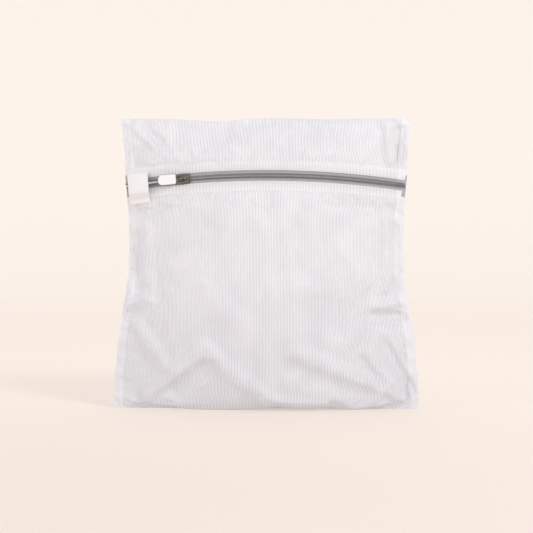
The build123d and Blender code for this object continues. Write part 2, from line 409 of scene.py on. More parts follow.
# ------------------------------------------------------------------ finishes
@dataclass(frozen=True)
class NetFinish:
    """Fine warp-knitted net: upright wales with long staggered holes between them."""

    name: str
    lit: Colour = (0.88, 0.912, 0.98)
    shaded: Colour = (0.75, 0.782, 0.856)
    column: float = 1.45
    row: float = 2.3
    stagger: float = 0.42
    hole_from: float = -0.25
    hole_to: float = 0.55
    yarn_alpha: float = 0.88
    hole_alpha: float = 0.42
    roughness: float = 0.58
    # painted shade: how much darker the net is painted near the floor, and the height in metres where that
    # darkening ends
    painted_floor_shade: float = 0.66
    painted_floor_shade_top: float = 0.2
    closing: float = 0.75
    whitening: float = 0.45
    clouds: float = 26.0
    fuzz: float = 900.0
    relief: float = 0.2

    def material(self) -> Material:
        """Net, see-through in its holes, with painted shade that makes it a little darker towards the floor.

        A hole's strength is cos(2A) + stagger x cos(A) cos(B), where A turns once in two columns and B
        once in a row, so long holes stand in columns, each shifted half a row from the next.

        Returns:
            The material.
        """
        desk = Desk(self.name)
        across, up, doubled = desk.cloth_place()
        turn_a = across * (math.pi / self.column)
        turn_b = up * (2 * math.pi / self.row)
        strength = (turn_a * 2.0).cos() + turn_a.cos() * turn_b.cos() * self.stagger
        hole = strength.step(self.hole_from, self.hole_to)
        open_share = hole * (1.0 - doubled * self.closing)
        alpha = self.yarn_alpha - open_share * (self.yarn_alpha - self.hole_alpha)
        cloudy = desk.noise(self.clouds, 4.0).step(0.3, 0.7)
        fuzz = desk.noise(self.fuzz, 2.0)
        yarn = (1.0 - hole) * 0.8 + fuzz * 0.2
        height = desk.node("ShaderNodeSeparateXYZ", inputs={0: desk.place()}, output=2)
        # painted shade: the net's colour is darkened from about 0.2 m down to the floor, where less light
        # falls; doubled cloth gets less of it
        wear_and_shade = 1.0 - height.step(-0.02, self.painted_floor_shade_top)
        shade = cloudy * 0.5 + yarn * 0.5 - wear_and_shade * (1.0 - doubled * 0.6) * self.painted_floor_shade
        return desk.finish(
            Base_Color=desk.tint(shade + doubled * self.whitening, self.shaded, self.lit),
            Roughness=self.roughness - yarn * 0.08 + fuzz * 0.1,
            Alpha=alpha,
            Normal=desk.bump(yarn, self.relief * MM, 0.35),
            Sheen_Weight=0.25,
            Sheen_Roughness=0.4,
            IOR=1.45,
        )


@dataclass(frozen=True)
class WebbingFinish:
    """Woven tape: ribs along it, crossed by fine slanted picks."""

    name: str
    light: Colour
    dark: Colour
    rib: float = 0.55
    pick: float = 0.5
    relief: float = 0.12
    roughness: float = 0.75
    fuzz: float = 1400.0
    clouds: float = 60.0

    def material(self) -> Material:
        """Tape whose ribs are 0.5 + 0.5 cos of the way up, and whose picks slant with each rib.

        Returns:
            The material.
        """
        desk = Desk(self.name)
        across, up, _ = desk.cloth_place()
        rib = (up * (2 * math.pi / self.rib)).cos() * 0.5 + 0.5
        slant = (up * (math.pi / self.rib)).cos().absolute() * 0.35
        pick = ((across + slant) * (2 * math.pi / self.pick)).cos() * 0.5 + 0.5
        weave = rib * 0.55 + pick * 0.45
        fuzz = desk.noise(self.fuzz, 3.0)
        cloudy = desk.noise(self.clouds, 3.0)
        shade = weave * 0.55 + fuzz * 0.25 + cloudy * 0.2
        return desk.finish(
            Base_Color=desk.tint(shade, self.dark, self.light),
            Roughness=self.roughness + fuzz * 0.15,
            Normal=desk.bump(weave + fuzz * 0.2, self.relief * MM, 0.8),
            Sheen_Weight=0.2,
            Sheen_Roughness=0.5,
        )


@dataclass(frozen=True)
class MouldedFinish:
    """Moulded plastic or a nylon filament: fine grain, soft shine, rubbed high spots."""

    name: str
    light: Colour
    dark: Colour
    roughness: float = 0.42
    grain: float = 700.0
    relief: float = 0.05

    def material(self) -> Material:
        """Grained plastic, its colour and shine varied by two noises.

        Returns:
            The material.
        """
        desk = Desk(self.name)
        grain = desk.noise(self.grain, 4.0)
        cloudy = desk.noise(self.grain / 9.0, 3.0)
        return desk.finish(
            Base_Color=desk.tint(grain * 0.45 + cloudy * 0.55, self.dark, self.light),
            Roughness=self.roughness + grain * 0.12 - cloudy * 0.06,
            Normal=desk.bump(grain, self.relief * MM, 0.5),
            Coat_Weight=0.12,
            Coat_Roughness=0.3,
        )


@dataclass(frozen=True)
class PlatedFinish:
    """Gunmetal plating, rubbed through to warm bronze in patches and finely scratched."""

    name: str
    plate: Colour = (0.125, 0.123, 0.12)
    # colour of the bronze where the plating is rubbed through: real wear
    wear_and_shade: Colour = (0.37, 0.32, 0.22)
    patches: float = 260.0
    scratches: tuple[float, float, float] = (900.0, 9000.0, 9000.0)

    def material(self) -> Material:
        """Metal whose wear is a stepped noise and whose scratches are a stretched one.

        Returns:
            The material.
        """
        desk = Desk(self.name)
        wear = desk.noise(self.patches, 4.0, 0.6).step(0.52, 0.72)
        stretched = desk.node("ShaderNodeMapping", inputs={"Vector": desk.place(), "Scale": self.scratches})
        scratch = desk.noise(1.0, 2.0, 0.5, stretched)
        return desk.finish(
            Base_Color=desk.tint(wear * 0.8 + scratch * 0.2, self.plate, self.wear_and_shade),
            Metallic=0.92 - wear * 0.1,
            Roughness=0.26 + scratch * 0.16 + wear * 0.1,
            Normal=desk.bump(scratch, 0.02 * MM, 0.4),
        )


@dataclass(frozen=True)
class ThreadFinish:
    """Twisted sewing thread: slanted strands along its length."""

    name: str
    light: Colour = (0.92, 0.91, 0.93)
    dark: Colour = (0.66, 0.65, 0.70)
    twist: float = 2600.0
    slant: tuple[float, float, float] = (0.0, 0.6, 0.5)
    fuzz: float = 3000.0

    def material(self) -> Material:
        """Thread whose strands are a slanted band pattern over a fine fuzz.

        Returns:
            The material.
        """
        desk = Desk(self.name)
        turned = desk.node("ShaderNodeMapping", inputs={"Vector": desk.place(), "Rotation": self.slant})
        settings = {"wave_type": "BANDS", "bands_direction": "X"}
        bands = desk.node("ShaderNodeTexWave", settings, {"Vector": turned, "Scale": self.twist / 6.0}, "Fac")
        fuzz = desk.noise(self.fuzz, 2.0)
        strand = bands * 0.7 + fuzz * 0.3
        return desk.finish(
            Base_Color=desk.tint(strand, self.dark, self.light),
            Roughness=0.62 + fuzz * 0.15,
            Normal=desk.bump(strand, 0.06 * MM, 0.7),
            Sheen_Weight=0.2,
        )


@dataclass(frozen=True)
class FloorFinish:
    """Matt cream paper of the studio sweep, lit from behind a little more towards its rim."""

    name: str = "cream_paper"
    light: Colour = (0.585, 0.53, 0.485)
    dark: Colour = (0.575, 0.52, 0.475)
    near: Colour = (0.29, 0.252, 0.23)
    middle: Colour = (0.395, 0.354, 0.331)
    far: Colour = (0.505, 0.482, 0.462)
    centre: tuple[float, float, float] = (0.0, -0.7, 0.0)
    rises: tuple[float, float, float, float] = (0.1, 1.2, 1.3, 4.0)
    clouds: float = 1.2
    tooth: float = 420.0

    def material(self) -> Material:
        """Paper with a faint cloudiness and tooth, whose glow rises with the distance from a centre.

        Returns:
            The material.
        """
        desk = Desk(self.name)
        cloudy = desk.noise(self.clouds, 2.0)
        tooth = desk.noise(self.tooth, 2.0)
        places = {0: desk.place(), 1: self.centre}
        distance = desk.node("ShaderNodeVectorMath", {"operation": "DISTANCE"}, places, "Value")
        first, second = distance.step(*self.rises[:2]), distance.step(*self.rises[2:])
        return desk.finish(
            Base_Color=desk.tint(cloudy, self.dark, self.light),
            Roughness=0.86 + tooth * 0.08,
            Normal=desk.bump(tooth, 0.05 * MM, 0.15),
            Emission_Color=desk.tint(second, desk.tint(first, self.near, self.middle), self.far),
            Emission_Strength=1.0,
            Specular_IOR_Level=0.2,
        )


# ------------------------------------------------------------------ the zip's line
@dataclass(frozen=True)
class ZipLine:
    """The circle, in a leaning plane, that the zip's middle follows."""

    height: float = 231.7 * MM
    front: float = 23.6 * MM
    end: float = 139.0 * MM
    drop: float = 10.0 * MM
    recess: float = 22.0 * MM
    lean: float = math.radians(6.0)

    @property
    def tilt(self) -> float:
        """Angle by which the circle's axis leans back."""
        return math.atan2(self.drop, self.recess)

    @property
    def radius(self) -> float:
        """Radius of the circle, from its half chord and its rise."""
        rise = math.hypot(self.drop, self.recess)
        return (self.end**2 + rise**2) / (2 * rise)

    def axes(self, across: Array) -> tuple[Array, Array, Array, Array]:
        """Moving frame of the zip.

        Its outward arm turns about the circle's axis by asin(across / radius); the tape's own up
        leans from the axis towards that arm by a fixed angle.

        Args:
            across: distance to the right of the bag's middle plane, any shape.
        Returns:
            The middle's place, and the directions right, up and out, each with 3 more columns.
        """
        along = np.array([0, math.sin(self.tilt), math.cos(self.tilt)])
        arm = np.array([0, -math.cos(self.tilt), math.sin(self.tilt)])
        side = np.array([1.0, 0, 0])
        angle = np.arcsin(np.asarray(across, float) / self.radius)[..., None]
        outward = arm * np.cos(angle) + side * np.sin(angle)
        right = side * np.cos(angle) - arm * np.sin(angle)
        up = along * math.cos(self.tilt - self.lean) + outward * math.sin(self.tilt - self.lean)
        centre = np.array([0, -self.front, self.height]) - arm * self.radius
        return centre + outward * self.radius, right, up, np.cross(up, right) * -1.0

    def point(self, across: Array, up: Array | float, out: Array | float) -> Array:
        """Place at a distance across the bag, up the tape and out of its face."""
        middle, _, up_way, out_way = self.axes(across)
        return middle + np.asarray(up)[..., None] * up_way + np.asarray(out)[..., None] * out_way


# ------------------------------------------------------------------ the bag's form
@dataclass(frozen=True)
class Crease:
    """A fold of the cloth along a straight line: a ridge if its height is above 0, else a valley."""

    start: tuple[float, float]
    end: tuple[float, float]
    height: float
    width: float

    def lift(self, across: Array, up: Array) -> Array:
        """Height x exp(-(d / width)^2), where d is the distance from the line and its ends.

        Args:
            across: distance to the right of the bag's middle plane.
            up: height, as across.
        Returns:
            How far the crease lifts the cloth there.
        """
        start, run = np.array(self.start) * MM, (np.array(self.end) - np.array(self.start)) * MM
        length = float(np.hypot(*run))
        way = run / length
        along = (across - start[0]) * way[0] + (up - start[1]) * way[1]
        aside = (across - start[0]) * way[1] - (up - start[1]) * way[0]
        beyond = np.maximum(np.maximum(-along, along - length), 0.0)
        return self.height * MM * np.exp(-(aside**2 + beyond**2) / (self.width * MM) ** 2)


FRONT_CREASES = (
    Crease((-138, 288), (-112, 262), 2.2, 4.5),
    Crease((-126, 284), (-104, 266), -1.6, 5.0),
    Crease((131, 276), (134, 243), -2.6, 5.0),
    Crease((121, 280), (124, 246), 1.6, 5.0),
    Crease((-150, 92), (-128, 96), -3.0, 4.5),
    Crease((-148, 104), (-120, 110), 1.8, 5.5),
    Crease((108, 95), (146, 93), -2.6, 4.5),
    Crease((104, 104), (140, 107), 1.6, 5.5),
    Crease((-118, 16), (-60, 63), 3.6, 6.5),
    Crease((-88, 22), (-52, 46), -3.0, 8.0),
    Crease((-60, 63), (5, 10), 3.0, 7.0),
    Crease((0, 12), (58, 4), 1.8, 5.0),
    Crease((118, 62), (145, 12), -3.4, 6.0),
    Crease((103, 58), (136, 12), 3.2, 6.0),
    Crease((35, 58), (125, 20), 1.8, 7.0),
    Crease((20, 46), (96, 14), -1.6, 8.0),
    Crease((-130, 170), (-127, 106), -1.6, 5.0),
    Crease((-118, 176), (-116, 110), 1.2, 6.0),
    Crease((-128, 84), (-100, 44), 1.6, 7.0),
    Crease((118, 190), (122, 120), 1.3, 6.0),
    Crease((128, 180), (130, 118), -1.4, 5.0),
    Crease((-60, 120), (-20, 84), 1.2, 12.0),
    Crease((40, 120), (86, 82), 1.4, 12.0),
)

BACK_CREASES = (
    Crease((-130, 240), (-60, 190), 2.2, 8.0),
    Crease((-118, 226), (-56, 176), -1.8, 8.0),
    Crease((120, 262), (70, 210), 2.0, 8.0),
    Crease((-20, 250), (10, 150), 1.6, 12.0),
    Crease((-140, 100), (-70, 60), 2.4, 8.0),
    Crease((-60, 62), (20, 14), 2.6, 8.0),
    Crease((60, 90), (128, 30), 2.8, 8.0),
    Crease((76, 104), (140, 52), -2.0, 8.0),
    Crease((-110, 30), (-50, 10), -2.0, 7.0),
    Crease((30, 170), (100, 130), 1.4, 12.0),
)


@dataclass(frozen=True)
class Swell:
    """A rounded rise of a line about one place on it, in millimetres."""

    place: float
    width: float
    height: float

    def lift(self, where: Array) -> Array:
        """Height x exp(-((where - place) / width)^2), in millimetres."""
        return self.height * np.exp(-(((where - self.place * MM) / (self.width * MM)) ** 2))


@dataclass(frozen=True)
class BagForm:
    """The filled-out shape: half width and half depth at each height, in millimetres."""

    heights: tuple[float, ...] = (0, 7, 22, 55, 100, 150, 200, 233, 260, 278, 289)
    half_widths: tuple[float, ...] = (
        152.5, 152.4, 151.8, 149.6, 142.6, 136.4, 138, 139.6, 141.8, 143.4, 144.5
    )
    half_depths: tuple[float, ...] = (16, 22.5, 28.5, 34, 36.5, 34.5, 29, 24, 17.5, 10, 1.6)
    seam_kinks: tuple[Swell, ...] = (Swell(103, 7, 0.8), Swell(89, 6, -0.6))
    top_dips: tuple[Swell, ...] = (Swell(-54, 30, 2.4), Swell(62, 24, 0.9))
    corner_soft: float = 5.0 * MM

    @property
    def top(self) -> float:
        """Height of the top fold."""
        return self.heights[-1] * MM

    def half_width(self, height: Array) -> Array:
        """Half of the width between the side seams, with the seams' own small waves and kinks.

        The waves are two sines of the height; with the kinks they fade out at the floor and the top.

        Args:
            height: any shape.
        Returns:
            The half width, in height's shape.
        """
        smooth = curve_through(np.array(self.heights) * MM, np.array(self.half_widths) * MM, height)
        wave = np.sin(height / (11 * MM)) * 0.35 + np.sin(height / (4.7 * MM) + 1.0) * 0.2
        kink = sum(swell.lift(height) for swell in self.seam_kinks)
        shown = smooth_step(0.0, 30 * MM, height) * smooth_step(self.top, self.top - 27 * MM, height)
        return smooth + (wave + kink) * MM * shown

    def top_dip(self, across: Array) -> Array:
        """How far the top fold sags below the seams' tops at a distance across."""
        return sum(swell.lift(across) for swell in self.top_dips) * MM

    def half_depth(self, height: Array) -> Array:
        """Half of the depth in the middle at a height."""
        return curve_through(np.array(self.heights) * MM, np.array(self.half_depths) * MM, height)

    def profile(self, low: float, high: float, count: int) -> tuple[Array, Array]:
        """Depth and height of the middle line at even steps along the cloth.

        The line runs along the floor from the bottom fold when low is 0, up the wall, and into the
        top fold when high is the bag's height; a running mean rounds its corners.

        Args:
            low: height where it starts.
            high: height where it ends.
            count: number of points.
        Returns:
            Depths and heights, count each.
        """
        rise = np.linspace(low, high, 400)
        depth = self.half_depth(rise)
        if low == 0.0:
            floor = np.linspace(0.0, depth[0], 40)[:-1]
            depth, rise = np.concatenate([floor, depth]), np.concatenate([np.zeros_like(floor), rise])
        if high == self.top:
            fold = np.linspace(depth[-1], 0.0, 6)[1:]
            depth, rise = np.concatenate([depth, fold]), np.concatenate([rise, np.full_like(fold, high)])
        line = np.stack([depth, rise], axis=-1)
        length = np.concatenate([[0], np.cumsum(np.linalg.norm(np.diff(line, axis=0), axis=1))])
        even = np.linspace(0, length[-1], 600)
        line = np.stack([np.interp(even, length, line[:, 0]), np.interp(even, length, line[:, 1])], axis=-1)
        window = max(3, int(self.corner_soft / (even[1] - even[0])) | 1)
        padded = np.pad(line, ((window // 2, window // 2), (0, 0)), mode="reflect", reflect_type="odd")
        kernel = np.ones(window) / window
        soft = np.stack([np.convolve(padded[:, c], kernel, mode="valid") for c in (0, 1)], axis=-1)
        pick = np.linspace(0, len(soft) - 1, count)
        rows = np.arange(len(soft))
        return np.interp(pick, rows, soft[:, 0]), np.interp(pick, rows, soft[:, 1])

    def wall(self, low: float, high: float, columns: int, rows: int) -> Array:
        """Half of the bag's wall, before its creases.

        With u from -1 to 1 across and s from 0 to 1 along the cloth, a point is at u x half width,
        depth(s) x (1 - u^2), and a height that goes from the profile's in the middle to an even
        climb at the side seams.

        Args:
            low: height where the wall starts.
            high: height where it ends.
            columns: points across.
            rows: points along.
        Returns:
            Points, rows x columns x 3, with their depth positive.
        """
        depth, height = self.profile(low, high, rows)
        across = np.linspace(-1, 1, columns)
        edge = np.abs(across) ** 4
        even = np.linspace(low, high, rows)
        rise = height[:, None] * (1 - edge) + even[:, None] * edge
        wide = across * self.half_width(rise)
        rise = rise - self.top_dip(wide) * (rise / self.top) ** 8
        return np.stack([wide, depth[:, None] * (1 - across**2), rise], axis=-1)


@dataclass(frozen=True)
class Buckling:
    """Blender's cloth, used to let a wall that is cut a little too large fold within its own edges."""

    growth: float = 0.028
    frames: int = 24
    furthest: float = 3.5 * MM
    quality: int = 6
    mass: float = 0.12
    stretch: float = 18.0
    shear: float = 6.0
    bending: float = 0.35
    damping: float = 2.0

    def settle(self, points: Array, held_first: int = 1, held_last: int = 1) -> Array:
        """Simulates every second point of a wall whose edges are held, and carries the change to all.

        Args:
            points: the wall, with odd numbers of rows and columns.
            held_first: simulated rows that are held at its start.
            held_last: simulated rows that are held at its end.
        Returns:
            The wall after the cloth has settled, no point moved further than the limit.
        """
        coarse = points[::2, ::2]
        moved = self.simulate(coarse, held_first, held_last) - coarse
        size = np.linalg.norm(moved, axis=-1, keepdims=True)
        moved = moved * np.tanh(size / self.furthest) * self.furthest / np.maximum(size, 1e-9)
        LOG.info("cloth moved by %.1f mm on average, %.1f mm at most", size.mean() / MM, size.max() / MM)
        for axis in (0, 1):
            count = coarse.shape[axis]
            fine = np.linspace(0, count - 1, points.shape[axis])
            moved = np.moveaxis(moved, axis, 0)
            moved = np.moveaxis(curve_through(np.arange(count, dtype=float), moved, fine), 0, axis)
        points = points + moved
        points[..., 2] = np.maximum(points[..., 2], 0.0)
        return points

    def simulate(self, coarse: Array, held_first: int, held_last: int) -> Array:
        """Runs Blender's cloth on a grid whose rim is held and whose rest lengths are a little longer.

        Args:
            coarse: the grid, rows x columns x 3.
            held_first: rows that are held at its start.
            held_last: rows that are held at its end.
        Returns:
            The grid after the last frame.
        """
        model = surface("cloth_model", coarse)
        rim = np.ones(coarse.shape[:2], bool)
        rim[held_first:-held_last, 1:-1] = False
        model.vertex_groups.new(name="held").add(np.flatnonzero(rim.ravel()).tolist(), 1.0, "REPLACE")
        cloth = model.modifiers.new("cloth", "CLOTH")
        settings = cloth.settings
        settings.quality = self.quality
        settings.mass = self.mass
        settings.tension_stiffness = self.stretch
        settings.compression_stiffness = self.stretch
        settings.shear_stiffness = self.shear
        settings.bending_stiffness = self.bending
        settings.air_damping = self.damping
        settings.vertex_group_mass = "held"
        settings.shrink_min = -self.growth
        settings.effector_weights.gravity = 0.0
        cloth.collision_settings.use_collision = False
        cloth.collision_settings.use_self_collision = False
        cloth.point_cache.frame_start = 1
        cloth.point_cache.frame_end = self.frames
        scene = bpy.context.scene
        for step in range(1, self.frames + 1):
            scene.frame_set(step)
        settled = np.empty(coarse.size)
        result = model.evaluated_get(bpy.context.evaluated_depsgraph_get())
        result.data.vertices.foreach_get("co", settled)
        mesh = model.data
        bpy.data.objects.remove(model)
        bpy.data.meshes.remove(mesh)
        scene.frame_set(1)
        return settled.reshape(coarse.shape)


@dataclass
class NetPanels:
    """The net: two walls at the front, parted by the zip, one at the back, and what is sewn in."""

    form: BagForm
    zip_line: ZipLine
    hem_edge: float = 5.3 * MM
    hem_width: float = 9.5 * MM
    hem_proud: float = 0.4 * MM
    hem_out: float = 0.9 * MM
    seam_strip: float = 9.0 * MM
    seam_inset: float = 0.8 * MM
    seam_low: float = 3 * MM
    seam_high: float = 283 * MM
    columns: int = 181
    front_rows: int = 151
    top_rows: int = 47
    back_rows: int = 191
    flat_width: float = 300 * MM
    tape_hold: float = 7 * MM
    zip_pull: float = 24 * MM
    sharpness: float = 2.5
    tallest: float = 5.0 * MM
    seam_wave: float = 0.4 * MM
    seam_reach: float = 11 * MM
    slow_wave: float = 0.8 * MM
    buckling: Buckling = Buckling()
    net: NetFinish = NetFinish("white_net")
    doubled: NetFinish = NetFinish(
        "doubled_net", (0.93, 0.95, 0.99), (0.86, 0.875, 0.925), hole_alpha=0.5, painted_floor_shade=0.0
    )

    def pucker(self, points: Array, creases: Sequence[Crease], phase: float) -> Array:
        """How far the cloth stands out of its smooth shape.

        It is the sum of the creases, of short waves that start at the side seams and die away inwards,
        and of a slow wave over the whole wall; all of it fades to 0 at the seams.

        Args:
            points: the smooth wall, rows x columns x 3.
            creases: its folds.
            phase: shift of the waves, so that no two walls match.
        Returns:
            The lift, rows x columns.
        """
        across, up = points[..., 0], points[..., 2]
        lift = sum(crease.lift(across, up) for crease in creases)
        inset = self.form.half_width(up) - np.abs(across)
        wave = np.sin(up / (5.2 * MM) + phase) + 0.6 * np.sin(up / (3.1 * MM) + 2 * phase + across * 22)
        lift = self.tallest * np.tanh(lift * self.sharpness / self.tallest)
        lift = lift + self.seam_wave * wave * np.exp(-inset / self.seam_reach)
        slow = np.sin(across / (31 * MM) + up / (47 * MM) + phase)
        slow = slow * np.sin(up / (39 * MM) - across / (67 * MM))
        return (lift + self.slow_wave * slow) * smooth_step(0.0, 9 * MM, inset)

    def front_wall(self, low: float, high: float, rows: int, side: Side) -> Array:
        """A front wall, pulled to the zip along one of its edges.

        Args:
            low: height where it starts in the middle.
            high: height where it ends in the middle.
            rows: points along the cloth.
            side: LOW for the wall under the zip, HIGH for the one above it.
        Returns:
            Points, rows x columns x 3.
        """
        points = self.form.wall(low, high, self.columns, rows)
        sewn = -1 if side is Side.LOW else 0
        share = np.linspace(0, 1, rows)[:, None]
        share = share if side is Side.LOW else 1 - share
        across = np.linspace(-1, 1, self.columns)
        spread = across * self.zip_line.end
        target = self.zip_line.point(spread, side.value * self.hem_edge, self.hem_out)
        height = points[..., 2] + (target[:, 2] - points[sewn, :, 2]) * share**1.5
        depth_now, depth_was = self.form.half_depth(height), self.form.half_depth(points[..., 2])
        settled = np.where(points[..., 2] > 30 * MM, depth_now / depth_was, 1.0)
        points = np.stack([across * self.form.half_width(height), -points[..., 1] * settled, height], axis=-1)

        away = walked(points, 0) * MM
        away = away if side is Side.HIGH else away[-1] - away
        along_tape = self.zip_line.point(
            np.broadcast_to(spread, away.shape), side.value * (self.hem_edge + away), self.hem_out
        )
        hold = smooth_step(self.zip_pull, self.tape_hold, away) * (1 - np.abs(across) ** 36)
        points = points + hold[..., None] * (along_tape - points)
        from_fold = points[..., 2] if side is Side.LOW else self.form.top - points[..., 2]
        free = smooth_step(self.tape_hold, self.zip_pull, away) * smooth_step(-1 * MM, 12 * MM, from_fold)
        points[..., 1] -= self.pucker(points, FRONT_CREASES, 0.4) * free
        return points

    def weave(self, points: Array, seamed: bool = True) -> Array:
        """Cloth coordinates of a grid of points.

        Args:
            points: rows x columns x 3.
            seamed: True where the grid's side edges are side seams, along which the cloth is doubled.
        Returns:
            Millimetres across from the middle column and up from the first row, and the doubling.
        """
        across = walked(points, 1)
        across = across - across[:, across.shape[1] // 2, None]
        inset = self.form.half_width(points[..., 2]) - np.abs(points[..., 0])
        doubled = smooth_step(self.seam_strip + 1 * MM, self.seam_strip - 1 * MM, inset) * float(seamed)
        return np.stack([across, walked(points, 0), doubled], axis=-1)

    def build(self) -> list[Piece]:
        """Builds the three walls, the hems and the seam strips.

        Returns:
            The pieces made.
        """
        middle, top = self.zip_line.height, self.form.top
        net, doubled = self.net.material(), self.doubled.material()

        lower = self.front_wall(0.0, middle - self.hem_edge, self.front_rows, Side.LOW)
        lower = self.buckling.settle(lower, held_last=4)
        net_front = surface("net_front", lower, weave=self.weave(lower))
        upper = self.front_wall(middle + self.hem_edge, top, self.top_rows, Side.HIGH)
        upper = self.buckling.settle(upper, held_first=4)
        net_top = surface("net_top", upper, weave=self.weave(upper))

        back = self.form.wall(0.0, top, self.columns, self.back_rows)
        hold = smooth_step(-1 * MM, 12 * MM, back[..., 2]) * smooth_step(0.0, 12 * MM, top - back[..., 2])
        back[..., 1] += self.pucker(back, BACK_CREASES, 1.9) * hold
        back = self.buckling.settle(back)
        net_back = surface("net_back", back[:, ::-1], weave=self.weave(back)[:, ::-1])

        fit(net_front, Body.BAG, net, "front_panel")
        fit(net_top, Body.BAG, net, "top_flap")
        fit(net_back, Body.BAG, net, "back_panel")

        hems = self.hems(lower, upper, doubled)
        strips = self.seam_strips(doubled)
        return [net_front, net_top, net_back, *hems, *strips]

    def hems(self, lower: Array, upper: Array, material: Material) -> list[Piece]:
        """The turned-in edges: each wall's last stretch at the zip, copied just in front of it.

        Args:
            lower: points of the wall under the zip.
            upper: points of the wall above it.
            material: the doubled net.
        Returns:
            The lower and the upper hem.
        """
        made = []
        shifted_weave = np.array([0.8, 0.7, 0.0])
        for points, name, way in ((lower[::-1], "lower", -1), (upper, "upper", 1)):
            away = walked(points, 0)[:, self.columns // 2] * MM
            strip = rows_at(points, away, np.linspace(0, self.hem_width, 9))[::way]
            strip[..., 1] -= self.hem_proud
            hem = surface(f"net_hem_{name}", strip, weave=self.weave(strip) + shifted_weave)
            made.append(fit(hem, Body.BAG, material, f"{name}_hem"))
        return made

    def seam_strips(self, material: Material) -> list[Piece]:
        """The seam allowances: flat strips just inside both side edges, a little wavy.

        Args:
            material: the doubled net.
        Returns:
            The left and the right strip.
        """
        made = []
        rise = np.linspace(self.seam_low, self.seam_high, 150)[:, None]
        share = np.linspace(0, 1, 7)[None]
        for side, name in ((Side.LOW, "left"), (Side.HIGH, "right")):
            width = self.seam_strip * (1 + 0.08 * np.sin(rise / (17 * MM) + side.value))
            across = self.form.half_width(rise) - self.seam_inset - width * share
            depth = 0.25 * MM * np.sin(rise / (6 * MM) + 3 * side.value) * share
            height = np.broadcast_to(rise, across.shape)
            strip = np.stack([across * side.value, depth, height], axis=-1)
            if side is Side.HIGH:
                strip = strip[:, ::-1]
            piece = surface(f"net_seam_{name}", strip, weave=self.weave(strip, seamed=False))
            made.append(fit(piece, Body.BAG, material, f"{name}_seam_allowance"))
        return made


